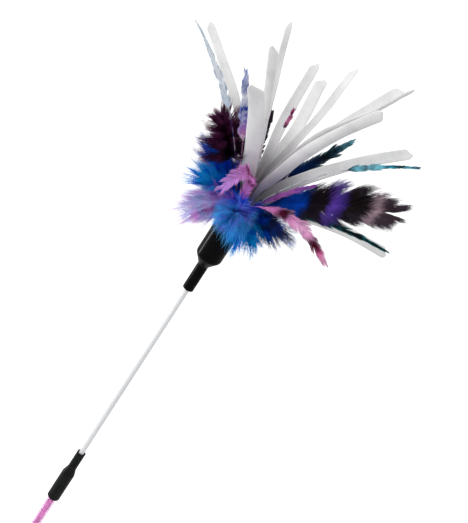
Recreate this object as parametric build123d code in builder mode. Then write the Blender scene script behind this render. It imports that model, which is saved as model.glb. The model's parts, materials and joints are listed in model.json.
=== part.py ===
from build123d import *
import os
from math import cos, radians, sin

# A cat teaser wand stands on its butt along +Z: handle, thin bending rod, and a cup of strips and feathers.
# The origin is on the wand's axis, at the middle of the handle's bare grip. All lengths are millimetres.

# Fits
SLIP = 0.1  # radial gap between pieces that are pushed or glued together
POT_GAP = 0.2  # gap between a free strip or feather and its own end, set in glue below it

# Handle
GRIP_LENGTH = 150.0
TUBE_RADIUS = 3.2
TUBE_BORE_RADIUS = 2.2
SPIGOT_STEP = 0.2  # the tube is turned down by this much where the lower sleeve covers it
PLUG_HEAD_LENGTH = 2.5
PLUG_STEM_LENGTH = 10.0
PLUG_EDGE_RADIUS = 0.8
FILM_THICKNESS = 0.3

# Rod
ROD_RADIUS = 2.0
ROD_SOCKET_DEPTH = 24.0  # how far the rod reaches down into the handle tube
ROD_FREE_LENGTH = 168.0
PIVOT_HEIGHT = 15.0  # from the lower sleeve's mouth up to the first bending pivot
PIVOT_SPACING = 24.0
BALL_GAP = 0.06
RIM_GAP = 0.3
BEND_LIMIT = 15.0  # degrees, either way at each pivot

# Lower sleeve
SLEEVE_WIDE_LENGTH = 26.0
SLEEVE_TAPER_LENGTH = 6.0
SLEEVE_NARROW_LENGTH = 16.0
SLEEVE_WIDE_RADIUS = 4.9
SLEEVE_NARROW_RADIUS = 3.3
SLEEVE_EDGE_RADIUS = 0.7
SLEEVE_FLARE = 0.8

# Lure cup
NECK_LENGTH = 23.0
SHOULDER_LENGTH = 8.0
CUP_LENGTH = 50.0
NECK_RADIUS = 4.1
CUP_RADIUS = 9.7
CUP_WALL = 1.1
CUP_EDGE_RADIUS = 0.5
SHOULDER_BLEND_RADIUS = 4.0
BUSH_INSET = 2.0  # from the neck's open end up to the bush
ROD_TIP_RISE = 2.0  # from the cup's mouth up to the rod's tip

# Rings of strips and quills around the rod's tip: radius, and height of the roots above the cup's mouth
INNER_RING_RADIUS = 2.6
MIDDLE_RING_RADIUS = 4.5
OUTER_RING_RADIUS = 6.2
QUILL_RING_RADIUS = 7.5
INNER_RISE = 8.0
MIDDLE_RISE = 6.0
OUTER_RISE = 4.0
QUILL_RISE = 2.6
PLUME_RISE = 1.2
TAIL_DEPTH = 25.0  # strips set in the cup, below its mouth
BUTT_DEPTH = 8.0  # quills set in the cup, below its mouth
THREAD_THICKNESS = 1.0
THREAD_LENGTH = 12.0

# Strips
STRIP_LENGTH = 154.0
STRIP_WIDTH = 7.5
STRIP_ROOT_WIDTH = 3.2
STRIP_TAPER_LENGTH = 16.0
STRIP_THICKNESS = 1.0
STRIP_CUT = 2.5  # how much further one corner of the cut end reaches than the other

# Feathers: slim hackles and fluffy plumes
HACKLE_LENGTH = 160.0
HACKLE_WIDTH = 11.0
HACKLE_THICKNESS = 1.0
HACKLE_QUILL_RADIUS = 0.5
HACKLE_STEM_SHARE = 0.16
PLUME_LENGTH = 112.0
PLUME_WIDTH = 30.0
PLUME_THICKNESS = 4.0
PLUME_QUILL_RADIUS = 0.6
PLUME_STEM_SHARE = 0.12
TIP_RADIUS_SHARE = 0.6  # of the quill's radius

# Each strip's ring, azimuth from +X, lean from the axis at its root, and further turn outwards, in degrees
STRIP_ANGLES = {
    "suede_strip_1": ("inner", -155, 15, 10),
    "suede_strip_2": ("inner", 116, 9, 22),
    "suede_strip_3": ("inner", -30, 10, 22),
    "suede_strip_4": ("middle", 68, 15, 20),
    "suede_strip_5": ("middle", 14, 12, 14),
    "suede_strip_6": ("middle", -50, 17, 14),
    "suede_strip_7": ("middle", -132, 20, 14),
    "suede_strip_8": ("middle", 158, 14, 14),
    "suede_strip_9": ("outer", 86, 28, 34),
    "suede_strip_10": ("outer", 26, 34, 18),
    "suede_strip_11": ("outer", 147, 37, 32),
    "suede_strip_12": ("quill", 31, 82, 30),
}
# Shares of the longest strip's length and of the usual strip's width
STRIP_SIZE_SHARES = {
    "suede_strip_1": (0.8, 1.0),
    "suede_strip_2": (0.65, 1.0),
    "suede_strip_3": (1.0, 1.0),
    "suede_strip_4": (0.73, 1.0),
    "suede_strip_5": (0.88, 1.15),
    "suede_strip_6": (0.9, 1.2),
    "suede_strip_7": (0.66, 1.45),
    "suede_strip_8": (0.8, 0.8),
    "suede_strip_9": (0.65, 1.2),
    "suede_strip_10": (0.74, 1.3),
    "suede_strip_11": (0.78, 1.0),
    "suede_strip_12": (0.78, 1.15),
}
HACKLE_ANGLES = {
    "hackle_maroon": ("inner", -92, 8, 8),
    "hackle_dark": ("quill", 125, 20, 6),
    "hackle_pale": ("quill", -148, 30, 22),
    "hackle_spotted": ("quill", -169, 21, 8),
    "hackle_rose": ("quill", -106, 18, 108),
    "hackle_pink": ("quill", -50, 51, 44),
    "hackle_mauve": ("quill", -13, 30, 8),
    "hackle_cyan": ("quill", -2, 25, 36),
    "hackle_navy": ("quill", 50, 39, 10),
    "hackle_teal": ("quill", 9, 68, 24),
}
# Shares of the longest hackle's length and of the widest hackle's width
HACKLE_SIZE_SHARES = {
    "hackle_maroon": (0.54, 0.4),
    "hackle_dark": (0.38, 0.5),
    "hackle_pale": (1.0, 0.75),
    "hackle_spotted": (0.6, 0.5),
    "hackle_rose": (0.55, 0.85),
    "hackle_pink": (0.68, 1.0),
    "hackle_mauve": (0.33, 0.4),
    "hackle_cyan": (0.77, 0.75),
    "hackle_navy": (0.5, 0.75),
    "hackle_teal": (0.61, 0.6),
}
PLUME_ANGLES = {
    "plume_plum": ("plume", -179, 34, 14),
    "plume_blue": ("plume", 165, 56, 20),
    "plume_turquoise": ("plume", -158, 73, 20),
    "plume_lilac": ("plume", -130, 98, 20),
    "plume_sky": ("plume", -92, 77, 20),
    "plume_iris": ("plume", -64, 98, 20),
    "plume_indigo": ("plume", -36, 77, 20),
    "plume_banded": ("plume", -25, 42, 16),
    "plume_violet": ("plume", 62, 88, 20),
    "plume_black": ("plume", 84, 66, 20),
    "plume_orchid": ("plume", 108, 97, 20),
    "plume_mulberry": ("plume", 142, 82, 20),
}
# Shares of the banded plume's length and width
PLUME_SIZE_SHARES = {
    "plume_plum": (0.53, 0.56),
    "plume_blue": (0.3, 0.45),
    "plume_turquoise": (0.27, 0.45),
    "plume_lilac": (0.32, 0.52),
    "plume_sky": (0.35, 0.55),
    "plume_iris": (0.34, 0.5),
    "plume_indigo": (0.35, 0.5),
    "plume_banded": (1.0, 1.0),
    "plume_violet": (0.37, 0.52),
    "plume_black": (0.37, 0.52),
    "plume_orchid": (0.37, 0.52),
    "plume_mulberry": (0.37, 0.5),
}

# Heights along the wand, from the butt to the cup's mouth
tube_bottom = -GRIP_LENGTH / 2
grip_top = GRIP_LENGTH / 2
butt_end = tube_bottom - PLUG_HEAD_LENGTH
tube_top = grip_top + SLEEVE_WIDE_LENGTH - SLIP
rod_bottom = tube_top - ROD_SOCKET_DEPTH
sleeve_taper_bottom = grip_top + SLEEVE_WIDE_LENGTH
sleeve_taper_top = sleeve_taper_bottom + SLEEVE_TAPER_LENGTH
sleeve_top = sleeve_taper_top + SLEEVE_NARROW_LENGTH
lower_pivot = sleeve_top + PIVOT_HEIGHT
upper_pivot = lower_pivot + PIVOT_SPACING
neck_bottom = sleeve_top + ROD_FREE_LENGTH
shoulder_bottom = neck_bottom + NECK_LENGTH
shoulder_top = shoulder_bottom + SHOULDER_LENGTH
mouth = shoulder_top + CUP_LENGTH

RINGS = {
    "inner": (INNER_RING_RADIUS, mouth + INNER_RISE),
    "middle": (MIDDLE_RING_RADIUS, mouth + MIDDLE_RISE),
    "outer": (OUTER_RING_RADIUS, mouth + OUTER_RISE),
    "quill": (QUILL_RING_RADIUS, mouth + QUILL_RISE),
    "plume": (QUILL_RING_RADIUS, mouth + PLUME_RISE),
}

os.makedirs("parts", exist_ok=True)


def save(piece, name):
    """Labels a finished piece and writes its file."""
    piece.label = name
    export_step(piece, f"parts/{name}.step")


def ring(radius, bore, bottom, top):
    """A plain round tube on the wand's axis."""
    with BuildPart() as tube:
        with BuildSketch(Plane.XY.offset(bottom)):
            Circle(radius)
            Circle(bore, mode=Mode.SUBTRACT)
        extrude(amount=top - bottom)
    return tube.part


def root_frames(ring_name, azimuth, lean):
    """The upright plane that a strip or feather bends in, with X outwards, and the plane that faces it."""
    radius, height = RINGS[ring_name]
    outward = Vector(cos(radians(azimuth)), sin(radians(azimuth)), 0)
    across = Vector(-sin(radians(azimuth)), cos(radians(azimuth)), 0)
    upward = Vector(0, 0, 1)
    root = outward * radius + upward * height
    facing = outward * cos(radians(lean)) - upward * sin(radians(lean))
    return Plane(root, x_dir=outward, z_dir=across * -1), Plane(root, x_dir=across, z_dir=facing)


def heading(lean):
    """Directions in a bending plane: along a piece that leans this far, and square to it towards the axis."""
    return Vector(sin(radians(lean)), cos(radians(lean))), Vector(-cos(radians(lean)), sin(radians(lean)))


def suede_strip(name):
    """A flat strip that bends outwards on one arc, pinched at its round root and cut slanting at its end."""
    ring_name, azimuth, lean, turn = STRIP_ANGLES[name]
    length_share, width_share = STRIP_SIZE_SHARES[name]
    length = STRIP_LENGTH * length_share
    width = STRIP_WIDTH * width_share
    bend_radius = length / radians(turn)
    chord = 2 * bend_radius * sin(radians(turn / 2))
    side, face = root_frames(ring_name, azimuth, lean + turn / 2)
    along, inward = heading(lean)
    half = STRIP_THICKNESS / 2
    with BuildPart() as strip:
        with BuildSketch(side):
            with BuildLine():
                upper = JernArc(inward * half, along, bend_radius + half, -turn)
                lower = JernArc(inward * -half, along, bend_radius - half, -turn)
                Line(upper @ 1, lower @ 1)
                ThreePointArc(inward * half, along * -half, inward * -half)
            make_face()
        extrude(amount=width, both=True)
        with BuildSketch(face):
            with BuildLine():
                Polyline(
                    (-STRIP_ROOT_WIDTH / 2, -STRIP_THICKNESS),
                    (-STRIP_ROOT_WIDTH / 2, 0),
                    (-width / 2, STRIP_TAPER_LENGTH),
                    (-width / 2, chord - STRIP_CUT),
                    (width / 2, chord),
                    (width / 2, STRIP_TAPER_LENGTH),
                    (STRIP_ROOT_WIDTH / 2, 0),
                    (STRIP_ROOT_WIDTH / 2, -STRIP_THICKNESS),
                    close=True,
                )
            make_face()
        extrude(amount=length, both=True, mode=Mode.INTERSECT)
    return strip.part


def feather(angles, length, width, thickness, quill, stem_share):
    """A feather: a bare round-ended quill, then a leaf-shaped vane that swells and bends outwards."""
    ring_name, azimuth, lean, turn = angles
    stem = length * stem_share
    bend_radius = (length - stem) / radians(turn)
    chord = 2 * bend_radius * sin(radians(turn / 2))
    bow = bend_radius * (1 - cos(radians(turn / 2)))
    side, face = root_frames(ring_name, azimuth, lean + turn / 2)
    along, inward = heading(lean)
    chord_along, chord_inward = heading(lean + turn / 2)
    base = along * stem
    end = base + chord_along * chord
    middle = base + chord_along * (chord / 2) + chord_inward * bow
    tip = quill * TIP_RADIUS_SHARE
    stem_run = stem * cos(radians(turn / 2))
    widest = stem_run + chord / 2
    tip_run = stem_run + chord
    with BuildPart() as piece:
        with BuildSketch(side):
            with BuildLine():
                Line(inward * quill, base + inward * quill)
                ThreePointArc(
                    base + inward * quill, middle + chord_inward * (thickness / 2), end + chord_inward * tip
                )
                Line(end + chord_inward * tip, end - chord_inward * tip)
                ThreePointArc(
                    end - chord_inward * tip, middle - chord_inward * (thickness / 2), base - inward * quill
                )
                Line(base - inward * quill, inward * -quill)
                ThreePointArc(inward * -quill, along * -quill, inward * quill)
            make_face()
        extrude(amount=width, both=True)
        with BuildSketch(face):
            with BuildLine():
                Polyline((-quill, stem_run), (-quill, -quill), (quill, -quill), (quill, stem_run))
                ThreePointArc((quill, stem_run), (width / 2, widest), (tip, tip_run))
                Line((tip, tip_run), (-tip, tip_run))
                ThreePointArc((-tip, tip_run), (-width / 2, widest), (-quill, stem_run))
            make_face()
        extrude(amount=length, both=True, mode=Mode.INTERSECT)
    return piece.part


# Handle tube, turned down at its top where the lower sleeve sits
with BuildPart() as handle_tube:
    with BuildSketch(Plane.XY.offset(tube_bottom)):
        Circle(TUBE_RADIUS)
    extrude(amount=GRIP_LENGTH)
    with BuildSketch(Plane.XY.offset(grip_top)):
        Circle(TUBE_RADIUS - SPIGOT_STEP)
    extrude(amount=tube_top - grip_top)
    with BuildSketch(Plane.XY.offset(tube_bottom)):
        Circle(TUBE_BORE_RADIUS)
    extrude(amount=tube_top - tube_bottom, mode=Mode.SUBTRACT)
save(handle_tube.part, "handle_tube")

# Rolled film inside the tube, between the end plug and the rod
film_bottom = tube_bottom + PLUG_STEM_LENGTH + SLIP
film_top = rod_bottom - SLIP
film_radius = TUBE_BORE_RADIUS - SLIP
save(ring(film_radius, film_radius - FILM_THICKNESS, film_bottom, film_top), "handle_film")

# End plug with a rounded head flush with the tube
with BuildPart() as end_plug:
    with BuildSketch(Plane.XY.offset(butt_end)):
        Circle(TUBE_RADIUS)
    extrude(amount=PLUG_HEAD_LENGTH)
    fillet(end_plug.edges().group_by(Axis.Z)[0], PLUG_EDGE_RADIUS)
    with BuildSketch(Plane.XY.offset(tube_bottom)):
        Circle(TUBE_BORE_RADIUS - SLIP)
    extrude(amount=PLUG_STEM_LENGTH)
save(end_plug.part, "end_plug")

# Rod in three lengths that meet in ball faces, where it bends
rim_drop = ROD_RADIUS * sin(radians(BEND_LIMIT)) + RIM_GAP
rod_lengths = {
    "rod_root": (rod_bottom, lower_pivot),
    "rod_mid": (lower_pivot, upper_pivot),
    "rod_tip": (upper_pivot, mouth + ROD_TIP_RISE),
}
for name, (low, high) in rod_lengths.items():
    has_ball = low != rod_bottom
    has_socket = high != mouth + ROD_TIP_RISE
    with BuildPart() as rod:
        with BuildSketch(Plane.XY.offset(low)):
            Circle(ROD_RADIUS)
        extrude(amount=high - low - (rim_drop if has_socket else 0))
        if has_ball:
            with Locations((0, 0, low)):
                Sphere(ROD_RADIUS)
        if has_socket:
            with Locations((0, 0, high)):
                Sphere(ROD_RADIUS + BALL_GAP, mode=Mode.SUBTRACT)
    save(rod.part, name)

# Stepped lower sleeve over the tube's top and the rod
with BuildPart() as lower_sleeve:
    with BuildSketch(Plane.XZ) as sleeve_wall:
        spigot_bore = TUBE_RADIUS - SPIGOT_STEP + SLIP
        rod_bore = ROD_RADIUS + SLIP
        with BuildLine():
            Polyline(
                (spigot_bore, grip_top),
                (SLEEVE_WIDE_RADIUS, grip_top),
                (SLEEVE_WIDE_RADIUS, sleeve_taper_bottom),
                (SLEEVE_NARROW_RADIUS, sleeve_taper_top),
                (SLEEVE_NARROW_RADIUS, sleeve_top),
                (rod_bore + SLEEVE_FLARE, sleeve_top),
                (rod_bore, sleeve_top - SLEEVE_FLARE),
                (rod_bore, sleeve_taper_bottom),
                (spigot_bore, sleeve_taper_bottom),
                close=True,
            )
        make_face()
        rounded = sleeve_wall.vertices().filter_by(lambda v: v.X > SLEEVE_WIDE_RADIUS - SLIP)
        fillet(rounded, SLEEVE_EDGE_RADIUS)
    revolve(axis=Axis.Z)
save(lower_sleeve.part, "lower_sleeve")

# Lure cup: a neck on the rod, a shoulder, and a wide open mouth
neck_bore = NECK_RADIUS - CUP_WALL
cup_bore = CUP_RADIUS - CUP_WALL
with BuildPart() as lure_cup:
    with BuildSketch(Plane.XZ) as cup_wall:
        with BuildLine():
            Polyline(
                (neck_bore, neck_bottom),
                (NECK_RADIUS, neck_bottom),
                (NECK_RADIUS, shoulder_bottom),
                (CUP_RADIUS, shoulder_top),
                (CUP_RADIUS, mouth),
                (cup_bore, mouth),
                (cup_bore, shoulder_top),
                (neck_bore, shoulder_bottom),
                close=True,
            )
        make_face()
        shoulder_corners = cup_wall.vertices().filter_by_position(Axis.Y, shoulder_bottom, shoulder_top)
        fillet(shoulder_corners, SHOULDER_BLEND_RADIUS)
        mouth_corners = cup_wall.vertices().group_by(Axis.Y)[-1]
        fillet(mouth_corners, CUP_EDGE_RADIUS)
    revolve(axis=Axis.Z)
save(lure_cup.part, "lure_cup")

# Bush that fills the neck around the rod
bush_radius = neck_bore - SLIP
save(ring(bush_radius, ROD_RADIUS + SLIP, neck_bottom + BUSH_INSET, shoulder_bottom), "neck_bush")

# Glue in the bottom of the cup, under the strips' ends
tail_bottom = mouth - TAIL_DEPTH
glue_bottom = shoulder_top + SHOULDER_BLEND_RADIUS / 2
save(ring(cup_bore - SLIP, ROD_RADIUS + SLIP, glue_bottom, tail_bottom - SLIP), "glue_plug")

# Thread wound around the strips' ends
tail_reach = ((OUTER_RING_RADIUS + STRIP_THICKNESS / 2) ** 2 + (STRIP_ROOT_WIDTH / 2) ** 2) ** 0.5
thread_bore = tail_reach + SLIP
thread_top = tail_bottom + THREAD_LENGTH
save(ring(thread_bore + THREAD_THICKNESS, thread_bore, tail_bottom, thread_top), "binding_thread")

# The strips' ends set in the cup
with BuildPart() as strip_tails:
    for ring_name, azimuth, *_ in STRIP_ANGLES.values():
        radius, root_height = RINGS[ring_name]
        low = mouth - (BUTT_DEPTH if ring_name == "quill" else TAIL_DEPTH)
        outward = Vector(cos(radians(azimuth)), sin(radians(azimuth)), 0)
        foot = outward * radius + Vector(0, 0, low)
        with BuildSketch(Plane(foot, x_dir=outward, z_dir=(0, 0, 1))):
            Rectangle(STRIP_THICKNESS, STRIP_ROOT_WIDTH)
        extrude(amount=root_height - STRIP_THICKNESS / 2 - POT_GAP - low)
save(strip_tails.part, "strip_tails")

# The quills' ends set in the cup
with BuildPart() as quill_butts:
    for angles, quill in [(row, HACKLE_QUILL_RADIUS) for row in HACKLE_ANGLES.values()] + [
        (row, PLUME_QUILL_RADIUS) for row in PLUME_ANGLES.values()
    ]:
        radius, root_height = RINGS[angles[0]]
        low = mouth - BUTT_DEPTH
        foot = (radius * cos(radians(angles[1])), radius * sin(radians(angles[1])), low)
        with BuildSketch(Plane(foot)):
            Circle(quill)
        extrude(amount=root_height - quill - POT_GAP - low)
save(quill_butts.part, "quill_butts")

# Strips and feathers, each free above its root
for name in STRIP_ANGLES:
    save(suede_strip(name), name)
for name, (length_share, width_share) in HACKLE_SIZE_SHARES.items():
    hackle = feather(
        HACKLE_ANGLES[name],
        HACKLE_LENGTH * length_share,
        HACKLE_WIDTH * width_share,
        HACKLE_THICKNESS,
        HACKLE_QUILL_RADIUS,
        HACKLE_STEM_SHARE,
    )
    save(hackle, name)
for name, (length_share, width_share) in PLUME_SIZE_SHARES.items():
    plume = feather(
        PLUME_ANGLES[name],
        PLUME_LENGTH * length_share,
        PLUME_WIDTH * width_share,
        PLUME_THICKNESS,
        PLUME_QUILL_RADIUS,
        PLUME_STEM_SHARE,
    )
    save(plume, name)
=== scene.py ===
import json
import math
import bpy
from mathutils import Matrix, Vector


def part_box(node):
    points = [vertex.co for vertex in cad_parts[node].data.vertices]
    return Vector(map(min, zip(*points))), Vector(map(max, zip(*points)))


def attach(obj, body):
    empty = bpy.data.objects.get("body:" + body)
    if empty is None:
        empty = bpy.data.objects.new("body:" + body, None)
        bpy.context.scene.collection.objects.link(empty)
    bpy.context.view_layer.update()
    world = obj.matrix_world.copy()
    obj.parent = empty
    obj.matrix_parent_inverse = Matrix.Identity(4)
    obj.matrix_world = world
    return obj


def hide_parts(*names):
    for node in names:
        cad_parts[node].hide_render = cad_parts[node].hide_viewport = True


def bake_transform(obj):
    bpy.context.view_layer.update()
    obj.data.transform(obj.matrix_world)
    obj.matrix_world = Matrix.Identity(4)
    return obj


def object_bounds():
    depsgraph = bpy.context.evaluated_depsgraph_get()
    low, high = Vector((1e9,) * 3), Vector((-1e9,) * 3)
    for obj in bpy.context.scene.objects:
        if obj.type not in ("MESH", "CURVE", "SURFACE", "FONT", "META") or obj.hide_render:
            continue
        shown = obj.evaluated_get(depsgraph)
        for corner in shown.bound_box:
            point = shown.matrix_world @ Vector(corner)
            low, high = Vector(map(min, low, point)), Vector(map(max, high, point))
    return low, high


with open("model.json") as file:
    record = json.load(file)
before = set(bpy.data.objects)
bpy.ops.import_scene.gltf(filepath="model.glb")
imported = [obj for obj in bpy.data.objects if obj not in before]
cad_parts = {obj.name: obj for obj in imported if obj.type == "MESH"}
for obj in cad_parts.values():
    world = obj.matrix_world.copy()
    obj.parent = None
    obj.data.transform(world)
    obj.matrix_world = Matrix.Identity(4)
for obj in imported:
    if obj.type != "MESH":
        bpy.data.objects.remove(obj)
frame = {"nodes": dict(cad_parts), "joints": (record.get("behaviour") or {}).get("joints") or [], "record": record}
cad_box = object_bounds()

import zlib

import bpy
import numpy as np
from mathutils import Matrix, Vector

# The wand stands along +Z, in metres. Strips and feathers follow the arcs of their solids.
MM = 0.001
UP = np.array([0.0, 0.0, 1.0])
TINY = 1e-12
CAMERA_ELEVATION = math.radians(30)
WAND_ANGLE = math.radians(56.75)  # of the wand's axis above the picture's lower edge
CAMERA_DISTANCE = 1.6
CAMERA_RANGE = 50.0
METRES_PER_PIXEL = 0.00068  # at the target
PICTURE_SIZE = (468, 523)
TARGET_PIXEL = (247, 197)
TARGET_RISE = 5 * MM  # of the target above the cup's mouth
SENSOR_HEIGHT = 36.0
FLOOR_SIZE = 8.0
FLOOR_GAP = 0.2 * MM  # below the butt

TOWARDS_CAMERA = np.array([0, -math.cos(CAMERA_ELEVATION), math.sin(CAMERA_ELEVATION)])
JOINTS = {joint["child"]: joint for joint in frame["joints"]}
SLOTS = {row["node"]: row["material_slot"] for row in frame["record"]["subparts"]}


def seeded(name):
    """A random generator that gives each piece the same draws on every run."""
    return np.random.default_rng(zlib.crc32(name.encode()))


def smooth(values, low, high):
    """A soft step from 0 at low to 1 at high."""
    share = np.clip((values - low) / (high - low), 0, 1)
    return share * share * (3 - 2 * share)


def unit(vectors):
    return vectors / np.maximum(np.linalg.norm(vectors, axis=-1, keepdims=True), TINY)


def colour(code):
    """Linear RGBA of a six-digit sRGB colour code."""
    values = [int(code[i : i + 2], 16) / 255 for i in (0, 2, 4)]
    return [v / 12.92 if v <= 0.04045 else ((v + 0.055) / 1.055) ** 2.4 for v in values] + [1.0]


# Meshes
LABELS = ("place", "reach", "seed", "side")
NEUTRAL_SEED = 0.5
SLANTED = (0.31, 0.83, 0.47)  # a direction that no tube starts along


class Shape:
    """Collects faces and vertices, each with its place along the piece, reach, seed and side."""

    def __init__(self):
        self.points, self.faces, self.count = [], [], 0
        self.values = {label: [] for label in LABELS}

    def add(self, points, faces, place, reach, seed, side):
        points = np.asarray(points).reshape(-1, 3)
        self.points.append(points)
        self.faces.extend((np.asarray(faces) + self.count).tolist())
        for label, values in zip(LABELS, (place, reach, seed, side)):
            self.values[label].append(np.broadcast_to(values, len(points)).astype(np.float32))
        self.count += len(points)

    def piece(self, name, body, material, slot, replaced):
        """Makes the object, which rides on a body or, given two bodies, is baked in place, and stands for the
        replaced nodes.
        """
        mesh = bpy.data.meshes.new(name)
        mesh.from_pydata(np.concatenate(self.points).tolist(), [], self.faces)
        mesh.polygons.foreach_set("use_smooth", np.ones(len(mesh.polygons), bool))
        values = {label: np.concatenate(parts) for label, parts in self.values.items()}
        for label in LABELS:
            mesh.attributes.new(label, "FLOAT", "POINT").data.foreach_set("value", values[label])
        corner = np.empty(len(mesh.loops), np.int32)
        mesh.loops.foreach_get("vertex_index", corner)
        across = 0.5 + 0.5 * values["side"] * values["reach"]
        layout = np.clip(np.stack([values["place"], across], 1), 0, 1)
        mesh.uv_layers.new(name="OFBake").uv.foreach_set("vector", layout[corner].ravel().astype(np.float32))
        mesh.materials.append(material)
        piece = bpy.data.objects.new(name, mesh)
        bpy.context.scene.collection.objects.link(piece)
        if isinstance(body, str):
            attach(piece, body)
        else:
            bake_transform(piece)
        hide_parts(*replaced)
        return piece


def grid_faces(rows, columns, closed):
    """Quads of a grid of points, closed round its columns or open."""
    row, column = np.meshgrid(np.arange(rows - 1), np.arange(columns - (not closed)), indexing="ij")
    here, above = row * columns, (row + 1) * columns
    after = (column + 1) % columns
    return np.stack([here + column, here + after, above + after, above + column], -1).reshape(-1, 4)


def tube(shape, points, radii, sides):
    """A round tube along points, with capped ends."""
    count = len(points)
    tangents = unit(np.gradient(points, axis=0))
    normal = unit(np.cross(tangents[0], SLANTED))
    angles = np.arange(sides) * 2 * math.pi / sides
    rings = []
    for point, tangent, radius in zip(points, tangents, np.broadcast_to(radii, count)):
        normal = unit(normal - tangent * (normal @ tangent))
        across = np.cross(tangent, normal)
        rings.append(point + radius * (np.cos(angles)[:, None] * normal + np.sin(angles)[:, None] * across))
    first_cap = shape.count + np.arange(sides)[::-1]
    last_cap = shape.count + (count - 1) * sides + np.arange(sides)
    place = np.repeat(np.linspace(0, 1, count), sides)
    shape.add(np.concatenate(rings), grid_faces(count, sides, True), place, 0.0, NEUTRAL_SEED, 1.0)
    shape.faces.extend([first_cap.tolist(), last_cap.tolist()])


def slab(shape, top, bottom, along, aside):
    """A closed sheet between two grids of points, with rows along the piece and columns from side to side."""
    rows, columns = top.shape[:2]
    upper = grid_faces(rows, columns, False)
    size = rows * columns
    rim = np.concatenate(
        [
            np.arange(columns),
            np.arange(1, rows) * columns + columns - 1,
            (rows - 1) * columns + np.arange(columns - 2, -1, -1),
            np.arange(rows - 2, 0, -1) * columns,
        ]
    )
    after = np.roll(rim, -1)
    wall = np.stack([after, rim, rim + size, after + size], 1)
    faces = np.concatenate([upper, upper[:, ::-1] + size, wall])
    place = np.tile(np.repeat(along, columns), 2)
    reach, side = np.tile(np.abs(aside), 2 * rows), np.tile(np.sign(aside), 2 * rows)
    shape.add(np.concatenate([top, bottom]), faces, place, reach, NEUTRAL_SEED, side)


# Arcs of the solids
TIP_DEPTH = 3 * MM  # of the end of a solid that counts as its tip
MIDDLE_SHARE = 0.15  # of the chord, on each side of its middle, where the bow is measured


def bending_arc(node):
    """Root, outward and sideways directions, lean, turn, length and half width of a node's solid."""
    joint = JOINTS[node]
    root = np.array(joint["pos_m"])
    side = unit(np.array(joint["axis"]))
    outward = np.cross(side, UP)
    places = np.array([vertex.co for vertex in frame["nodes"][node].data.vertices]) - root
    flat = np.stack([places @ outward, places @ UP], 1)
    distance = np.hypot(flat[:, 0], flat[:, 1])
    tip = flat[distance > distance.max() - TIP_DEPTH].mean(0)
    chord = np.hypot(*tip)
    direction = tip / chord
    middle = np.abs(flat @ direction / chord - 0.5) < MIDDLE_SHARE
    bow = (flat[middle] @ np.array([-direction[1], direction[0]])).mean()
    turn = 4 * math.atan2(2 * bow, chord)
    lean = math.atan2(tip[0], tip[1]) - turn / 2
    length = chord * (turn / 2) / math.sin(turn / 2)
    return root, outward, side, lean, turn, length, np.abs(places @ side).max()


def run(root, outward, side, pitch, yaw, length, along):
    """Points, tangents, normals and sideways directions of a line, from its pitch and yaw along it."""
    pitch, yaw = pitch[:, None], yaw[:, None]
    tangents = (outward * np.sin(pitch) + UP * np.cos(pitch)) * np.cos(yaw) + side * np.sin(yaw)
    steps = (tangents[1:] + tangents[:-1]) / 2 * length * np.diff(along)[:, None]
    points = root + np.concatenate([np.zeros((1, 3)), np.cumsum(steps, 0)])
    faces = outward * np.cos(pitch) - UP * np.sin(pitch)
    across = unit(np.cross(faces, tangents))
    return points, tangents, np.cross(tangents, across), across


def turned(across, normals, roll):
    """Sideways and face directions, rolled about the line."""
    roll = roll[:, None]
    return across * np.cos(roll) + normals * np.sin(roll), normals * np.cos(roll) - across * np.sin(roll)


def facing_roll(across, normals):
    """The smaller roll about a line that turns one of its faces to the camera, taken past its middle."""
    k = len(across) * 3 // 5
    roll = math.atan2(-across[k] @ TOWARDS_CAMERA, normals[k] @ TOWARDS_CAMERA)
    return (roll + math.pi / 2) % math.pi - math.pi / 2


# Materials


def add(tree, kind, inputs=None, **settings):
    """A node with its settings, whose inputs are values or other nodes' outputs."""
    node = tree.nodes.new(kind)
    for key, value in settings.items():
        setattr(node, key, value)
    for key, value in (inputs or {}).items():
        if isinstance(value, bpy.types.NodeSocket):
            tree.links.new(value, node.inputs[key])
        else:
            node.inputs[key].default_value = value
    return node


def attribute(tree, name):
    return add(tree, "ShaderNodeAttribute", attribute_name=name).outputs["Fac"]


def math_node(tree, operation, first, second, clamp=False):
    inputs = {0: first, 1: second}
    return add(tree, "ShaderNodeMath", inputs, operation=operation, use_clamp=clamp).outputs[0]


def ramp(tree, value, stops):
    """A colour ramp through (position, colour code) stops."""
    node = add(tree, "ShaderNodeValToRGB", {"Fac": value})
    elements = node.color_ramp.elements
    while len(elements) < len(stops):
        elements.new(1.0)
    for element, (position, code) in zip(elements, stops):
        element.position = position
        element.color = colour(code)
    return node.outputs["Color"]


def mixed(tree, share, first, second, blend="MIX"):
    inputs = {"Fac": share, "Color1": first, "Color2": second}
    return add(tree, "ShaderNodeMixRGB", inputs, blend_type=blend).outputs[0]


def noise(tree, scale, detail, vector):
    inputs = {"Scale": scale, "Detail": detail, "Vector": vector}
    return add(tree, "ShaderNodeTexNoise", inputs).outputs["Fac"]


def object_place(tree, stretch=(1, 1, 1)):
    """The piece's own coordinates, stretched."""
    place = add(tree, "ShaderNodeTexCoord").outputs["Object"]
    return add(tree, "ShaderNodeMapping", {"Vector": place, "Scale": stretch}).outputs["Vector"]


def spread(tree, value, low, high):
    """A value of 0 to 1, mapped to low to high."""
    return add(tree, "ShaderNodeMapRange", {"Value": value, "To Min": low, "To Max": high}).outputs["Result"]


def bump(tree, height, distance, strength):
    inputs = {"Height": height, "Distance": distance, "Strength": strength}
    return add(tree, "ShaderNodeBump", inputs).outputs["Normal"]


def new_material(name):
    """A material, its node tree and its shader."""
    material = bpy.data.materials.new(name)
    material.use_nodes = True
    return material, material.node_tree, material.node_tree.nodes["Principled BSDF"]


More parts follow.
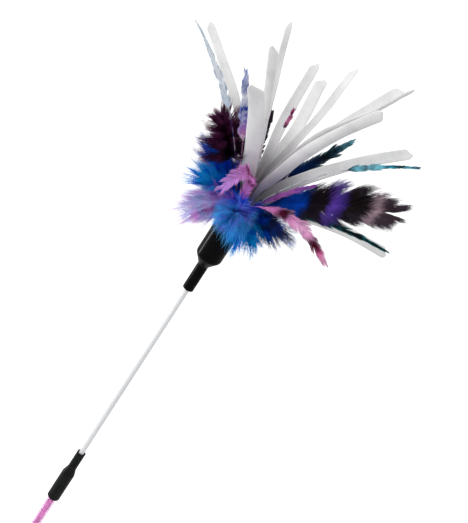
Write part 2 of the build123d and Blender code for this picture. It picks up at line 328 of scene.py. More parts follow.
def connect(tree, shader, links, **values):
    """Sets plain values on a shader and links node outputs to it."""
    for key, output in links.items():
        tree.links.new(output, shader.inputs[key])
    for key, value in values.items():
        shader.inputs[key.replace("_", " ")].default_value = value


SUEDE_BLOTCH_SCALE, SUEDE_NAP_SCALE = 60.0, 900.0
SUEDE_NAP_DEPTH, SUEDE_NAP_STRENGTH, SUEDE_NAP_SHARE = 0.05 * MM, 0.2, 0.12


def suede_material():
    """White suede: faint blotches, a fine nap, and painted shade, grey towards the strips' roots where they crowd
    together.
    """
    material, tree, shader = new_material("white_suede")
    place = object_place(tree)
    blotches = noise(tree, SUEDE_BLOTCH_SCALE, 4.0, place)
    blotches = ramp(tree, blotches, [(0.3, "e4e3e4"), (0.5, "f0f0f0"), (0.72, "f8f8f7")])
    nap = noise(tree, SUEDE_NAP_SCALE, 2.0, place)
    shaded = ramp(tree, nap, [(0.35, "c4c4c6"), (0.6, "ffffff")])
    speckled = mixed(tree, SUEDE_NAP_SHARE, blotches, shaded, "MULTIPLY")
    # Painted shade: grey at the strips' roots, fading to white along them
    painted_root_shade = ramp(tree, attribute(tree, "place"), [(0.0, "8f8b90"), (0.2, "c6c4c6"), (0.42, "ffffff")])
    links = {
        "Base Color": mixed(tree, 1.0, speckled, painted_root_shade, "MULTIPLY"),
        "Roughness": spread(tree, nap, 0.8, 0.98),
        "Normal": bump(tree, nap, SUEDE_NAP_DEPTH, SUEDE_NAP_STRENGTH),
    }
    connect(tree, shader, links, Specular_IOR_Level=0.15, Sheen_Weight=0.15, Sheen_Roughness=0.5)
    return material


BARB_TONES = (0.85, 1.35)  # brightness of the darkest and the palest barb
DYE_SATURATION = 1.12


def feather_material(name, look):
    """A dyed feather: colours along it, others at its edge and in patches, each barb a bit different."""
    material, tree, shader = new_material(name)
    seed = attribute(tree, "seed")
    place = attribute(tree, "place")
    reach = attribute(tree, "reach")
    stray = math_node(tree, "MULTIPLY", math_node(tree, "SUBTRACT", seed, NEUTRAL_SEED), look["ragged"])
    shown = ramp(tree, math_node(tree, "ADD", place, stray), look["stops"])
    edge = ramp(tree, reach, [(0.45, "000000"), (1.0, "ffffff")])
    edge_share = math_node(tree, "MULTIPLY", edge, look["edge_share"])
    shown = mixed(tree, edge_share, shown, colour(look["edge"]))
    blotches = noise(tree, look["patch_scale"], 2.0, object_place(tree))
    patch = ramp(tree, blotches, [(0.5, "000000"), (0.62, "ffffff")])
    patch_share = math_node(tree, "MULTIPLY", patch, look["patch_share"])
    shown = mixed(tree, patch_share, shown, colour(look["patch"]))
    tone = spread(tree, seed, *BARB_TONES)
    inputs = {"Color": shown, "Value": tone, "Saturation": DYE_SATURATION, "Hue": 0.5, "Fac": 1.0}
    shown = add(tree, "ShaderNodeHueSaturation", inputs).outputs[0]
    links = {"Base Color": shown, "Roughness": spread(tree, seed, 0.5, 0.75)}
    connect(tree, shader, links, Specular_IOR_Level=0.08)
    return material


SPECKLE_FINENESS = 6  # of the noise of roughness and bump, against the noise of the colours
SPECKLE_STRENGTH = 0.6
PLAIN = (1, 1, 1)
DRAWN = (1, 1, 0.3)  # noise drawn out along the wand
STREAKS = (1, 1, 0.02)  # noise drawn out along the wand, into streaks


def speckled_material(name, stops, scale, stretch, rough, height=0.0, **values):
    """Colours of one noise, stretched along the piece, with roughness and bump from a finer one."""
    material, tree, shader = new_material(name)
    place = object_place(tree, stretch)
    fine = noise(tree, scale * SPECKLE_FINENESS, 3.0, place)
    links = {
        "Base Color": ramp(tree, noise(tree, scale, 4.0, place), stops),
        "Roughness": spread(tree, fine, *rough),
    }
    if height:
        links["Normal"] = bump(tree, fine, height, SPECKLE_STRENGTH)
    connect(tree, shader, links, **values)
    return material


# Strips: twist, side bend (sway) and lengthwise curl in degrees, width at the tip as a share of the solid's
# (narrowed), share of the length that the rounded end takes (round), and share of the roll to the camera
# (face)
STRIP_DEFAULTS = dict(narrowed=0.92, round=0.035, face=0.0)
STRIP_LOOKS = {
    "suede_strip_1": dict(twist=20, sway=8, curl=40, narrowed=0.85, face=0.5),
    "suede_strip_2": dict(twist=-30, sway=-8, curl=55),
    "suede_strip_3": dict(twist=24, sway=6, curl=55, narrowed=0.9, face=0.3),
    "suede_strip_4": dict(twist=-30, sway=8, curl=55),
    "suede_strip_5": dict(twist=22, sway=-6, curl=40, narrowed=1.05, face=0.3),
    "suede_strip_6": dict(twist=-18, sway=6, curl=45, narrowed=0.9, face=0.4),
    "suede_strip_7": dict(twist=-10, sway=-4, curl=24, narrowed=1.05, round=0.06, face=0.85),
    "suede_strip_8": dict(twist=14, sway=-8, curl=40, narrowed=0.8, face=0.9),
    "suede_strip_9": dict(twist=-16, sway=8, curl=40, face=0.8),
    "suede_strip_10": dict(twist=-10, sway=-10, curl=36, narrowed=0.9, face=0.75),
    "suede_strip_11": dict(twist=-30, sway=10, curl=50),
    "suede_strip_12": dict(twist=10, sway=8, curl=30, face=0.8),
}
# Shares of a strip's length over which each change sets in
STRIP_SPANS = dict(
    free=(0.1, 0.6), twist=(0.15, 1.0), face=(0.0, 0.3), narrowed=(0.35, 1.0), unpinched=(0.0, 0.16),
    uncurled=(0.3, 1.0), slant=(0.93, 1.0), thinned=(0.96, 1.0),
)
STRIP_THICKNESS = 1.1 * MM
STRIP_ROWS, STRIP_COLUMNS = 110, 15
ROW_POWER = 0.9  # sets the rows closer together towards the tip
WAVES, WAVE_PHASE = 4, 9
PITCH_WAVE, YAW_WAVE, ROLL_WAVE = 0.045, 0.04, 0.12  # radians
WIDTH_WAVE, CURL_WAVE = 0.035, 0.25  # shares of the width and the curl
SWAY_START = 0.35  # share of the length where the side bend changes its direction
ROOT_WIDTH_SHARE, TIP_CURL_SHARE = 0.42, 0.35
LEAST_CURL = 0.05  # radians
END_CUT, END_SLANT = 0.92, 1.2 * MM
EDGE_THINNING, EDGE_POWER, END_THINNING = 0.8, 6, 0.45


def strip_waves(random, along):
    """Three slow waves along a strip: for pitch and curl, for yaw and width, and for roll."""
    draws = [random.uniform(-1, 1, WAVES) for _ in range(3)]
    return [
        sum(size * np.sin((k + 1) * math.pi * along + size * WAVE_PHASE) for k, size in enumerate(sizes))
        for sizes in draws
    ]


def suede_ribbon(node, material):
    """A hand-cut strip: pinched at its root, curled and twisted, with a soft slanting cut end."""
    look = STRIP_DEFAULTS | STRIP_LOOKS[node]
    root, outward, side, lean, turn, length, half = bending_arc(node)
    along = np.linspace(0, 1, STRIP_ROWS) ** ROW_POWER
    grown = {label: smooth(along, *span) for label, span in STRIP_SPANS.items()}
    pitch_wave, yaw_wave, roll_wave = strip_waves(seeded(node), along)

    pitch = lean + turn * along + PITCH_WAVE * pitch_wave * grown["free"]
    sway = math.radians(look["sway"]) * np.sin(math.pi * (along - SWAY_START))
    yaw = sway * grown["free"] + YAW_WAVE * yaw_wave * grown["free"]
    points, tangents, normals, across = run(root, outward, side, pitch, yaw, length, along)
    roll = math.radians(look["twist"]) * grown["twist"] + ROLL_WAVE * roll_wave * grown["free"]
    roll = roll + look["face"] * facing_roll(across, normals) * grown["face"]
    across, normals = turned(across, normals, roll)

    cut = np.clip((along - 1 + look["round"]) / look["round"], 0, 1)
    width = half * (1 + (look["narrowed"] - 1) * grown["narrowed"]) * np.sqrt(1 - cut**2 * END_CUT)
    width = width * (ROOT_WIDTH_SHARE + (1 - ROOT_WIDTH_SHARE) * grown["unpinched"])
    width = width * (1 + WIDTH_WAVE * yaw_wave * grown["free"])
    curl = math.radians(look["curl"]) * (1 - (1 - TIP_CURL_SHARE) * grown["uncurled"])
    curl = np.maximum(curl * (1 + CURL_WAVE * pitch_wave), LEAST_CURL)

    aside = np.linspace(-1, 1, STRIP_COLUMNS)
    angle = curl[:, None] * aside
    radius = (width / curl)[:, None]
    flat, rise = radius * np.sin(angle), radius * (1 - np.cos(angle))
    slant = END_SLANT * grown["slant"][:, None] * aside
    middle = points[:, None] + across[:, None] * flat[..., None] - normals[:, None] * rise[..., None]
    middle = middle + tangents[:, None] * slant[..., None]
    lift = across[:, None] * np.sin(angle)[..., None] + normals[:, None] * np.cos(angle)[..., None]
    thick = STRIP_THICKNESS / 2 * np.sqrt(1 - EDGE_THINNING * np.abs(aside) ** EDGE_POWER)
    thick = thick * (1 - END_THINNING * grown["thinned"])[:, None]
    offset = lift * thick[..., None]
    shape = Shape()
    slab(shape, middle - offset, middle + offset, along, aside)
    shape.piece(f"{node}_ribbon", node, material, SLOTS[node], [node])


# Barbs
SWING_ANGLE, SWING_PHASE, SWING_POWER = 5.5, 40, 1.5  # of the wave along a barb
GATHER_POWER = 1.6
BARB_TAPER, TAPER_POWER = 0.85, 1.6
BARB_HEIGHT_SHARE = 0.35  # of a barb's ridge, against its width
BARB_CORNERS = 3


def barbs(shape, roots, starts, ends, normals, lengths, widths, place, step, seeds, sides, clump, look):
    """Tapered three-sided barbs, each turning from its start to its end direction, that gather into tufts."""
    count = len(roots)
    rows = look["rows"]
    along = np.linspace(0, 1, rows + 1)
    direction = unit(starts[:, None] * (1 - along[:, None]) + ends[:, None] * along[:, None])
    steps = (direction[:, 1:] + direction[:, :-1]) / 2 * (lengths / rows)[:, None, None]
    points = roots[:, None] + np.concatenate([np.zeros((count, 1, 3)), np.cumsum(steps, 1)], 1)
    flat = unit(np.cross(direction, normals[:, None]))
    high = np.cross(flat, direction)
    swing = np.sin(along[None] * SWING_ANGLE + seeds[:, None] * SWING_PHASE) * (along**SWING_POWER)[None]
    points = points + flat * (swing * look["wave"] * lengths[:, None])[..., None]

    members = np.bincount(clump, minlength=clump.max() + 1)
    tips = np.stack([np.bincount(clump, points[:, -1, k]) for k in range(3)], 1)
    tips = tips / np.maximum(members, 1)[:, None]
    pull = (tips[clump] - points[:, -1]) * look["gather"]
    points = points + pull[:, None] * (along**GATHER_POWER)[None, :, None]

    taper = (widths[:, None] * (1 - BARB_TAPER * along[None] ** TAPER_POWER))[..., None]
    edges = flat * taper / 2
    corners = [points + edges, points - edges, points + high * taper * BARB_HEIGHT_SHARE]
    rings = np.stack([corner[:, :-1] for corner in corners], 2)
    tip = rows * BARB_CORNERS
    vertices = np.concatenate([rings.reshape(count, tip, 3), points[:, -1:]], 1)
    one = []
    for low in range(0, tip - BARB_CORNERS, BARB_CORNERS):
        for k in range(BARB_CORNERS):
            a, b = low + k, low + (k + 1) % BARB_CORNERS
            one += [[a, b, b + BARB_CORNERS], [a, b + BARB_CORNERS, a + BARB_CORNERS]]
    last = tip - BARB_CORNERS
    one += [[last + k, last + (k + 1) % BARB_CORNERS, tip] for k in range(BARB_CORNERS)] + [[2, 1, 0]]
    faces = np.array(one)[None] + (np.arange(count) * (tip + 1))[:, None, None]
    reach = np.append(np.repeat(along[:-1], BARB_CORNERS), 1.0)
    shape.add(
        vertices,
        faces.reshape(-1, 3),
        (place[:, None] + step[:, None] * reach).ravel(),
        np.tile(reach, count),
        np.repeat(seeds, tip + 1),
        np.repeat(sides, tip + 1),
    )


# Feathers, by shape: the count of barbs, their angles in degrees from the shaft at its root and tip, how far
# they stand out of the vane (round) and stray (jitter) in degrees, their width, their reach against the
# solid's half width (spread), wave and rows; the share of the shaft that carries barbs (span) and of the
# solid's length that shows (trim); the shaft's radius (quill); tufts along the shaft (clump) and how far barbs
# gather in them; and the share of the roll to the camera (face). By colour: stops along the feather, how far
# they stray from barb to barb (ragged), and the colours and shares of its edge and patches.
HACKLE = dict(
    barbs=900, angle=(42, 20), round=5, jitter=3, width=0.55 * MM, spread=1.05, wave=0.015, rows=4,
    span=(0.12, 0.995), trim=1.0, quill=0.45 * MM, clump=16, gather=0.25, face=0.75,
    ragged=0.03, edge_share=0.4, patch_share=0.2, patch_scale=180.0,
)
PLUME = dict(
    barbs=2300, angle=(78, 24), round=46, jitter=9, width=0.36 * MM, spread=1.9, wave=0.06, rows=6,
    span=(0.02, 0.86), trim=0.8, quill=0.55 * MM, clump=14, gather=0.45, face=0.0,
    ragged=0.16, edge_share=0.55, patch_share=0.75, patch_scale=110.0,
)
FEATHERS = {
    "hackle_maroon": dict(
        HACKLE, barbs=90, span=(0.74, 0.95), spread=1.1, quill=0.15 * MM, angle=(40, 20), jitter=8,
        stops=[(0, "d8c8d0"), (0.7, "d8c0cc"), (0.76, "4a1630"), (0.84, "d48ab0"), (0.92, "6a2444"),
               (1, "c4709a")],
        edge="e6c4d8", patch="3c1226",
    ),
    "hackle_dark": dict(
        HACKLE, angle=(60, 34), round=30, spread=1.3,
        stops=[(0, "241420"), (0.5, "17111c"), (1, "332838")],
        edge="5a4a62", patch="0c080e",
    ),
    "hackle_pale": dict(
        HACKLE, span=(0.5, 0.995), spread=0.85, angle=(28, 12), edge_share=0.6,
        stops=[(0, "241838"), (0.44, "3a2c54"), (0.52, "d8e4f2"), (0.7, "f4f9fe"), (1, "e2ecf4")],
        edge="8093ac", patch="fafcfe",
    ),
    "hackle_spotted": dict(
        HACKLE, span=(0.45, 0.99), spread=1.5, patch_share=0.5,
        stops=[(0, "d58fca"), (0.5, "dfa0d8"), (0.62, "8f86d8"), (0.7, "2c46a8"), (0.8, "eef0fa"),
               (0.88, "3a52b4"), (1, "8fa0dc")],
        edge="d4dcf4", patch="f4f6fc",
    ),
    "hackle_pink": dict(
        HACKLE, barbs=1300, spread=1.0, angle=(40, 12), ragged=0.06,
        stops=[(0, "e08fd0"), (0.2, "f0a8de"), (0.3, "e79ad4"), (0.36, "5a1a30"), (0.44, "3c1020"),
               (0.5, "e6a0d2"), (0.62, "f4c4e6"), (0.74, "efb4dc"), (0.8, "3a1220"), (0.87, "54182c"),
               (0.92, "d878a4"), (1, "eec0dc")],
        edge="f8d4ee", patch="8d3f6a",
    ),
    "hackle_mauve": dict(
        HACKLE, stops=[(0, "b478c4"), (0.5, "c884cc"), (1, "a064b8")], edge="e0aae4", patch="744890",
    ),
    "hackle_cyan": dict(
        HACKLE, span=(0.6, 0.995), angle=(26, 10), spread=0.8, patch_share=0.6,
        stops=[(0, "e4e8ea"), (0.56, "dfe6ea"), (0.6, "2c3238"), (0.66, "8fd4e6"), (0.76, "a4e2f0"),
               (0.84, "56b0cc"), (0.9, "14202a"), (0.95, "7cd0e4"), (1, "10161c")],
        edge="b9ecf6", patch="16242c",
    ),
    "hackle_navy": dict(
        HACKLE, span=(0.35, 0.995), spread=1.2, angle=(36, 14), patch_share=0.5,
        stops=[(0, "101a34"), (0.5, "1a2c5c"), (0.72, "0c1218"), (0.85, "1c3448"), (1, "6aa4b0")],
        edge="8fb4c4", patch="080b12",
    ),
    "hackle_teal": dict(
        HACKLE, span=(0.3, 0.995), angle=(24, 10),
        stops=[(0, "14202a"), (0.5, "101c22"), (1, "0d1418")],
        edge="5fc0c4", patch="3fa0a8",
    ),
    "hackle_rose": dict(
        HACKLE, barbs=1100, spread=1.3, angle=(50, 24), span=(0.02, 0.99), face=0.6, ragged=0.08,
        stops=[(0, "e08fd0"), (0.2, "f0a6e0"), (0.27, "6a2030"), (0.33, "ec9cdc"), (0.5, "eaa4e0"),
               (0.57, "7a3450"), (0.63, "e4a0e2"), (1, "cfa4ec")],
        edge="f2c0ee", patch="b45a9a",
    ),
    "plume_plum": dict(
        PLUME, barbs=3000, angle=(96, 66), spread=2.9, round=30, span=(0.5, 0.98), gather=0.55, trim=1.0,
        patch_scale=150.0,
        stops=[(0, "1a1220"), (0.5, "18222c"), (0.62, "1a1018"), (0.76, "3c1836"), (0.9, "5a2a50"),
               (1, "6a3a5c")],
        edge="6c3458", patch="120c12",
    ),
    "plume_blue": dict(
        PLUME, trim=0.95, edge_share=0.4,
        stops=[(0, "2038e0"), (0.4, "2450f0"), (0.75, "2a5cf0"), (1, "3c8cec")],
        edge="2a60ec", patch="1224a0",
    ),
    "plume_turquoise": dict(
        PLUME, stops=[(0, "2440e4"), (0.4, "2a68ec"), (0.7, "2f7cf0"), (1, "64c8f4")],
        edge="3a90f0", patch="2040e4",
    ),
    "plume_lilac": dict(
        PLUME, trim=0.75,
        stops=[(0, "f4a0ec"), (0.3, "f8acf2"), (0.55, "f2b0f6"), (0.8, "e4c0fc"), (1, "d0dcfe")],
        edge="ecccfc", patch="fc9ce6",
    ),
    "plume_sky": dict(
        PLUME, trim=0.62, patch_scale=80.0,
        stops=[(0, "1c34e8"), (0.35, "2850f6"), (0.6, "5a74f6"), (0.8, "98a4f8"), (1, "68c0f8")],
        edge="86bcf8", patch="a494f4",
    ),
    "plume_iris": dict(
        PLUME, trim=0.6,
        stops=[(0, "2034e0"), (0.4, "2a54f4"), (0.7, "4a78f4"), (1, "50c0f4")],
        edge="4aa4f2", patch="2038e0",
    ),
    "plume_indigo": dict(
        PLUME, trim=0.58,
        stops=[(0, "1c30d0"), (0.4, "1c54dc"), (0.65, "1a60b4"), (0.85, "241c54"), (1, "3a1c40")],
        edge="2a7cc8", patch="2a6cf0",
    ),
    "plume_banded": dict(
        PLUME, barbs=3800, angle=(56, 16), round=9, jitter=5, width=0.42 * MM, spread=1.15, span=(0.1, 0.99),
        trim=1.0, clump=30, gather=0.35, face=0.6, ragged=0.04, edge_share=0.3, patch_share=0.35,
        stops=[(0, "2a2440"), (0.2, "24489c"), (0.4, "2a58c8"), (0.46, "1c1622"), (0.58, "1a1216"),
               (0.63, "7a60c0"), (0.7, "5a4898"), (0.75, "17100f"), (0.88, "1c1518"), (0.95, "c4aab6"),
               (1, "4a3a42")],
        edge="5a5468", patch="0f0b10",
    ),
    "plume_violet": dict(
        PLUME, stops=[(0, "34248c"), (0.5, "5a44b8"), (1, "a084dc")], edge="9a7cd8", patch="1c1440",
    ),
    "plume_black": dict(
        PLUME, stops=[(0, "120c18"), (0.6, "1c1424"), (1, "3a2640")], edge="2c4a78", patch="241430",
    ),
    "plume_orchid": dict(
        PLUME, stops=[(0, "c070cc"), (0.5, "d498e0"), (1, "d8c0f0")], edge="e4c8f2", patch="7f5cc0",
    ),
    "plume_mulberry": dict(
        PLUME, stops=[(0, "3c1434"), (0.5, "682a5a"), (1, "b06a8c")], edge="b87a94", patch="203c64",
    ),
}
SHAFT_ROWS, SHAFT_SIDES = 40, 8
SHAFT_SWAY = 5  # degrees to either side, at most
SHAFT_FACING = (0.0, 0.35)  # shares of the shaft over which it rolls to the camera
SHAFT_TAPER = 0.85
LAYER_ANGLE = 0.6  # radians between the layers in which barbs gather
OUTER_LAYER = 3  # on each face of the vane
TUFT_STRAY, OWN_STRAY = 0.8, 0.6
BEND_SHARE, BEND_STRAY = 0.65, 0.3  # of a barb's angle that is left at its tip
LEAF_ROOT, LEAF_RUN, LEAST_LEAF = 0.12, 0.84, 0.05  # part of a half wave, which gives the vane's outline
LEAST_SINE = 0.45
TUFT_LENGTH, TUFT_LIMIT, OWN_LENGTH = 0.18, 1.5, 0.12
LENGTH_LIMITS = (0.45, 1.45)
STEP_TURN = 0.8  # share of a barb's angle that sets how far its tip lies along the feather
WIDTH_LIMITS = (0.7, 1.3)


def sampled(values, along, at):
    """Vectors given at shares along a line, read off at other shares."""
    return np.stack([np.interp(at, along, values[:, k]) for k in range(3)], 1)


def feather(node):
    """A feather on its solid's arc: a tapered shaft, and barbs in tufts on both of its sides."""
    look = FEATHERS[node]
    random = seeded(node)
    root, outward, side, lean, turn, length, half = bending_arc(node)
    turn, length = turn * look["trim"], length * look["trim"]
    along = np.linspace(0, 1, SHAFT_ROWS)
    yaw = math.radians(random.uniform(-SHAFT_SWAY, SHAFT_SWAY)) * np.sin(math.pi * along)
    points, tangents, normals, across = run(root, outward, side, lean + turn * along, yaw, length, along)
    roll = look["face"] * facing_roll(across, normals) * smooth(along, *SHAFT_FACING)
    across, normals = turned(across, normals, roll)
    shape = Shape()
    tube(shape, points, look["quill"] * (1 - SHAFT_TAPER * along), SHAFT_SIDES)

    count = look["barbs"]
    first, last = look["span"]
    at = first + (last - first) * np.sort(random.random(count))
    sides = np.where(np.arange(count) % 2, 1.0, -1.0)
    seeds = random.random(count)
    roll = np.radians(look["round"]) * random.normal(size=count)
    layer = np.clip(np.round(roll / LAYER_ANGLE), -OUTER_LAYER, OUTER_LAYER).astype(int) + OUTER_LAYER
    clump = ((at * look["clump"]).astype(int) * 2 + (sides > 0)) * (2 * OUTER_LAYER + 1) + layer
    tuft = random.normal(size=(clump.max() + 1, 3))[clump]
    stray = np.radians(look["jitter"]) * (TUFT_STRAY * tuft + OWN_STRAY * random.normal(size=(count, 3)))

    tangents, normals, across = (unit(sampled(values, along, at)) for values in (tangents, normals, across))
    level = (at - first) / (last - first)
    root_angle, tip_angle = look["angle"]
    angle = np.radians(root_angle + (tip_angle - root_angle) * level) + stray[:, 0]
    roll = roll + stray[:, 1]
    outwards = across * (sides * np.cos(roll))[:, None] + normals * np.sin(roll)[:, None]
    bent = angle * (BEND_SHARE + BEND_STRAY * stray[:, 2])
    starts = tangents * np.cos(angle)[:, None] + outwards * np.sin(angle)[:, None]
    ends = tangents * np.cos(bent)[:, None] + outwards * np.sin(bent)[:, None]
    leaf = np.sqrt(np.clip(np.sin(math.pi * np.clip(LEAF_ROOT + LEAF_RUN * at, 0, 1)), LEAST_LEAF, 1))
    lengths = half * look["spread"] * leaf / np.maximum(np.sin(np.abs(angle)), LEAST_SINE)
    uneven = TUFT_LENGTH * tuft[:, 2].clip(-TUFT_LIMIT, TUFT_LIMIT) + OWN_LENGTH * random.normal(size=count)
    lengths = lengths * (1 + uneven).clip(*LENGTH_LIMITS)
    step = lengths * np.cos(angle * STEP_TURN) / length
    widths = look["width"] * random.uniform(*WIDTH_LIMITS, count)
    roots = sampled(points, along, at)
    barbs(shape, roots, starts, ends, normals, lengths, widths, at, step, seeds, sides, clump, look)
    shape.piece(f"{node}_feather", node, feather_material(f"{node}_dye", look), SLOTS[node], [node])


suede = suede_material()
for strip in STRIP_LOOKS:
    suede_ribbon(strip, suede)
for name in FEATHERS:
    feather(name)

# Rod, drawn as two straight lengths
ROD_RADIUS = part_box("rod_tip")[1].x
ROD_ROWS, ROD_SIDES = 60, 24
ROD_SHARP_ANGLE = math.radians(60)
BEND_REACH = 12 * MM  # above and below each pivot
rod_plastic = speckled_material(
    "rod_plastic", [(0.3, "e6e7ea"), (0.5, "eff0f2"), (0.7, "f8f8f9")], 350.0, STREAKS, (0.2, 0.35),
    Subsurface_Weight=0.25, Subsurface_Radius=(1, 1, 1), Subsurface_Scale=1.0 * MM, Coat_Weight=0.3,
)


def rod_piece(name, low, high, bodies, start, end, replaced):
    """A straight length of the rod."""
    shape = Shape()
    tube(shape, np.linspace(low, high, ROD_ROWS)[:, None] * UP, ROD_RADIUS, ROD_SIDES)
    bend = (*bodies, (0, 0, start), (0, 0, end))
    piece = shape.piece(name, bend, rod_plastic, SLOTS[replaced[0]], replaced)
    piece.data.set_sharp_from_angle(angle=ROD_SHARP_ANGLE)


lower_pivot = JOINTS["rod_mid"]["pos_m"][2]
upper_pivot = JOINTS["lure"]["pos_m"][2]
halfway = (lower_pivot + upper_pivot) / 2
rod_piece(
    "rod_lower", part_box("rod_root")[0].z, halfway, ("handle", "rod_mid"), lower_pivot - BEND_REACH, halfway,
    ["rod_root", "rod_mid"],
)
rod_piece(
    "rod_upper", halfway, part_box("rod_tip")[1].z, ("rod_mid", "lure"), halfway, upper_pivot + BEND_REACH,
    ["rod_tip"],
)

# Film, strip ends and thread
FILM_ROWS, FILM_SIDES = 90, 40
FILM_CREASES = 14
CREASE_DEPTH = 0.5 * MM
CREASE_TURNS, CREASE_PITCH, CREASE_PHASE = (2, 9), (-60, 60), (0, 7)
FILM_INNER_SHARE = np.array([0.93, 0.93, 1.0])  # of the film's outside


def crinkled_film():
    """Film rolled up inside the handle, with lengthwise creases."""
    bottom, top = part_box("handle_film")
    random = seeded("handle_film")
    angle = np.arange(FILM_SIDES) * 2 * math.pi / FILM_SIDES
    heights = np.linspace(bottom.z, top.z, FILM_ROWS)[:, None]
    crease = np.zeros((FILM_ROWS, FILM_SIDES))
    for _ in range(FILM_CREASES):
        turns, pitch = random.integers(*CREASE_TURNS), random.uniform(*CREASE_PITCH)
        phase = random.uniform(*CREASE_PHASE)
        crease += np.abs(np.sin(turns * angle[None] / 2 + pitch * heights + phase))
    crease = crease / crease.max()
    radius = top.x - CREASE_DEPTH * (1 - crease)
    outer = np.stack([radius * np.cos(angle), radius * np.sin(angle), np.repeat(heights, FILM_SIDES, 1)], -1)
    shape = Shape()
    along = np.repeat(np.linspace(0, 1, FILM_ROWS), FILM_SIDES)
    faces = grid_faces(FILM_ROWS, FILM_SIDES, True)
    shape.add(outer, faces, along, crease.ravel(), NEUTRAL_SEED, 1.0)
    shape.add(outer * FILM_INNER_SHARE, faces[:, ::-1], along, crease.ravel(), NEUTRAL_SEED, 1.0)
    size = FILM_ROWS * FILM_SIDES
    here = np.arange(FILM_SIDES)
    after = (here + 1) % FILM_SIDES
    lower_rim = np.stack([after, here, here + size, after + size], 1)
    upper_rim = np.stack([here, after, after + size, here + size], 1) + size - FILM_SIDES
    shape.faces.extend(np.concatenate([lower_rim, upper_rim]).tolist())
    # Pink is the film's own colour; its dark purple streaks are painted crease shade and its palest streaks
    # painted highlights
    material = speckled_material(
        "pink_film",
        [(0.42, "4c0c5c"), (0.47, "a8309c"), (0.5, "ec84d0"), (0.56, "fcccf0"), (0.66, "b8449f")],
        330.0, DRAWN, (0.2, 0.4),
    )
    shape.piece("handle_film_creases", "handle", material, SLOTS["handle_film"], ["handle_film"])


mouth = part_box("lure_cup")[1].z
DEEP_TAIL, SHALLOW_TAIL = 25 * MM, 8 * MM  # set in the cup, below its mouth
RIM_RING = 7 * MM  # strips rooted further out than this have shallow ends
TAIL_ROWS, TAIL_COLUMNS = 12, 5
TAIL_HALF_WIDTH, TAIL_HALF_THICKNESS = 1.6 * MM, 0.5 * MM
TAIL_GAP = 0.4 * MM  # between a strip's end and its free part
# The strips' set ends take the suede's painted root shade
TAIL_SHADE = 0.06  # place along a strip whose grey the upper ends take


def strip_tails():
    """The strips' ends, set in the cup."""
    shape = Shape()
    aside = np.linspace(-1, 1, TAIL_COLUMNS)
    for node in STRIP_LOOKS:
        root, outward, side, *_ = bending_arc(node)
        depth = SHALLOW_TAIL if np.hypot(root[0], root[1]) > RIM_RING else DEEP_TAIL
        heights = np.linspace(mouth - depth, root[2] - TAIL_GAP, TAIL_ROWS)
        line = root * (1 - UP) + UP * heights[:, None]
        flat = line[:, None] + side * (TAIL_HALF_WIDTH * aside)[:, None]
        lift = TAIL_HALF_THICKNESS * outward
        # Places near the root give these ends the suede's painted grey shade
        slab(shape, flat + lift, flat - lift, np.linspace(0, TAIL_SHADE, TAIL_ROWS), aside)
    shape.piece("strip_tails_ends", "lure", suede, SLOTS["strip_tails"], ["strip_tails"])


THREAD_RADIUS = 0.5 * MM
THREAD_STEPS, THREAD_SIDES = 40, 8  # steps in a turn of the thread, and sides of the thread itself


def wound_thread():
    """Thread wound around the strips' ends, each turn beside the last."""
    bottom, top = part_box("binding_thread")
    pitch = 2 * THREAD_RADIUS
    winds = (top.z - bottom.z - pitch) / pitch
    turns = np.linspace(0, 2 * math.pi * winds, int(winds * THREAD_STEPS))
    reel = top.x - THREAD_RADIUS
    heights = bottom.z + THREAD_RADIUS + turns / (2 * math.pi) * pitch
    shape = Shape()
    line = np.stack([reel * np.cos(turns), reel * np.sin(turns), heights], 1)
    tube(shape, line, THREAD_RADIUS, THREAD_SIDES)
    material = speckled_material(
        "thread", [(0.35, "cfcdc8"), (0.6, "ecebe7")], 900.0, PLAIN, (0.75, 0.95), 0.05 * MM,
    )
    shape.piece("binding_thread_winding", "lure", material, SLOTS["binding_thread"], ["binding_thread"])


crinkled_film()
strip_tails()
wound_thread()

# Hard nodes that keep their solids
HARD = {
    "handle_tube": speckled_material(
        "clear_pink", [(0.3, "f4bce8"), (0.5, "f6ccee"), (0.7, "fadcf4")], 300.0, STREAKS, (0.03, 0.1),
        Transmission_Weight=0.85, IOR=1.3,
    ),
    "end_plug": speckled_material(
        "plug_rubber", [(0.35, "060607"), (0.65, "0c0c0e")], 500.0, PLAIN, (0.5, 0.7), 0.04 * MM,
        Specular_IOR_Level=0.07,
    ),
    "lower_sleeve": speckled_material(
        "matte_sleeve", [(0.35, "111213"), (0.65, "1c1d1d")], 400.0, DRAWN, (0.22, 0.34), 0.03 * MM,
        Specular_IOR_Level=0.1,
    ),
    "lure_cup": speckled_material(
        "satin_sleeve", [(0.35, "030304"), (0.65, "070708")], 300.0, DRAWN, (0.16, 0.24), 0.01 * MM,
        Specular_IOR_Level=0.06,
    ),
    "neck_bush": speckled_material("bush", [(0.35, "c4c3be"), (0.65, "d9d8d4")], 500.0, PLAIN, (0.4, 0.6)),
    "glue_plug": speckled_material(
        "hot_glue", [(0.35, "d8d4c4"), (0.65, "ebe8dc")], 200.0, PLAIN, (0.15, 0.3), 0.05 * MM,
        Transmission_Weight=0.3,
    ),
    "quill_butts": speckled_material(
        "horn", [(0.35, "a8989a"), (0.65, "d0c4c2")], 900.0, (1, 1, 0.1), (0.35, 0.55),
    ),
}
for node, material in HARD.items():
    slots = frame["nodes"][node].data.materials
    slots.clear()
    slots.append(material)

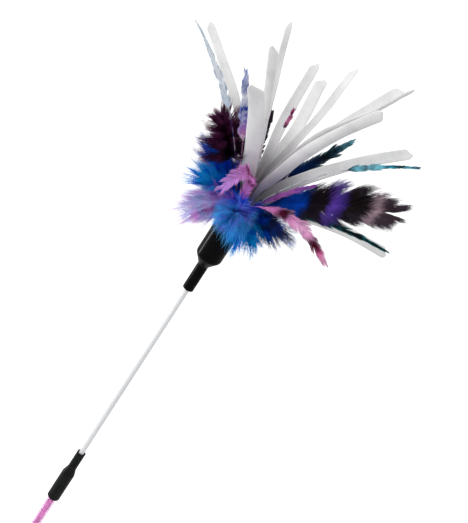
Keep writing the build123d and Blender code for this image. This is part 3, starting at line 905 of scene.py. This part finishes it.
# Camera at the photograph's angle
target = np.array([0, 0, mouth + TARGET_RISE])
forward = -TOWARDS_CAMERA
level_up = np.array([0, math.sin(CAMERA_ELEVATION), math.cos(CAMERA_ELEVATION)])
level_right = np.array([1.0, 0, 0])
tip_over = math.pi / 2 - WAND_ANGLE
right = level_right * math.cos(tip_over) + level_up * math.sin(tip_over)
upward = level_up * math.cos(tip_over) - level_right * math.sin(tip_over)
sideways = (TARGET_PIXEL[0] - PICTURE_SIZE[0] / 2) * METRES_PER_PIXEL
raised = (PICTURE_SIZE[1] / 2 - TARGET_PIXEL[1]) * METRES_PER_PIXEL
camera_place = target - forward * CAMERA_DISTANCE - right * sideways - upward * raised
camera = bpy.data.objects.new("camera", bpy.data.cameras.new("camera"))
camera.data.sensor_fit = "VERTICAL"
camera.data.sensor_height = SENSOR_HEIGHT
camera.data.lens = SENSOR_HEIGHT * CAMERA_DISTANCE / (PICTURE_SIZE[1] * METRES_PER_PIXEL)
camera.data.clip_end = CAMERA_RANGE
camera_rows = np.stack([right, upward, -forward, camera_place], 1).tolist()
camera.matrix_world = Matrix([*camera_rows, [0, 0, 0, 1]])
bpy.context.scene.collection.objects.link(camera)
bpy.context.scene.camera = camera

# Floor, world and lamps
FLOOR_GLOW = 0.7  # where the camera sees the floor
WORLD_LIGHT, WORLD_SEEN = 0.65, 1.0
floor_mesh = bpy.data.meshes.new("floor")
edge = FLOOR_SIZE / 2
floor_corners = [(-edge, -edge, 0), (edge, -edge, 0), (edge, edge, 0), (-edge, edge, 0)]
floor_mesh.from_pydata(floor_corners, [], [(0, 1, 2, 3)])
floor = bpy.data.objects.new("floor", floor_mesh)
floor.location.z = cad_box[0][2] - FLOOR_GAP
bpy.context.scene.collection.objects.link(floor)


def seen_by_eye(tree):
    """1 on camera and transmission rays, and 0 on the rays that carry light."""
    path = add(tree, "ShaderNodeLightPath").outputs
    return math_node(tree, "ADD", path["Is Camera Ray"], path["Is Transmission Ray"], clamp=True)


floor_material, tree, shader = new_material("pale_floor")
connect(
    tree, shader, {"Emission Strength": math_node(tree, "MULTIPLY", seen_by_eye(tree), FLOOR_GLOW)},
    Base_Color=colour("e6e6e6"), Roughness=0.9, Specular_IOR_Level=0.0, Emission_Color=(1, 1, 1, 1),
)
floor_mesh.materials.append(floor_material)

world = bpy.data.worlds.new("studio")
world.use_nodes = True
bpy.context.scene.world = world
background = world.node_tree.nodes["Background"]
background.inputs["Color"].default_value = (1, 1, 1, 1)
strength = spread(world.node_tree, seen_by_eye(world.node_tree), WORLD_LIGHT, WORLD_SEEN)
world.node_tree.links.new(strength, background.inputs["Strength"])


def lamp(name, position, size, watts):
    """A square soft lamp, in metres right, up and towards the camera from the target, and aimed at it."""
    light = bpy.data.lights.new(name, "AREA")
    light.size = size
    light.energy = watts
    holder = bpy.data.objects.new(name, light)
    offset = right * position[0] + upward * position[1] - forward * position[2]
    holder.location = target + offset
    holder.rotation_euler = Vector(-offset).to_track_quat("-Z", "Y").to_euler()
    bpy.context.scene.collection.objects.link(holder)


lamp("key", (-0.75, 0.8, 0.7), size=0.6, watts=6.2)
lamp("fill", (0.9, 0.2, 0.9), size=0.8, watts=2.5)
lamp("rim", (-0.72, 0.08, -0.19), size=0.12, watts=0.9)
bpy.context.scene.view_settings.view_transform = "Standard"
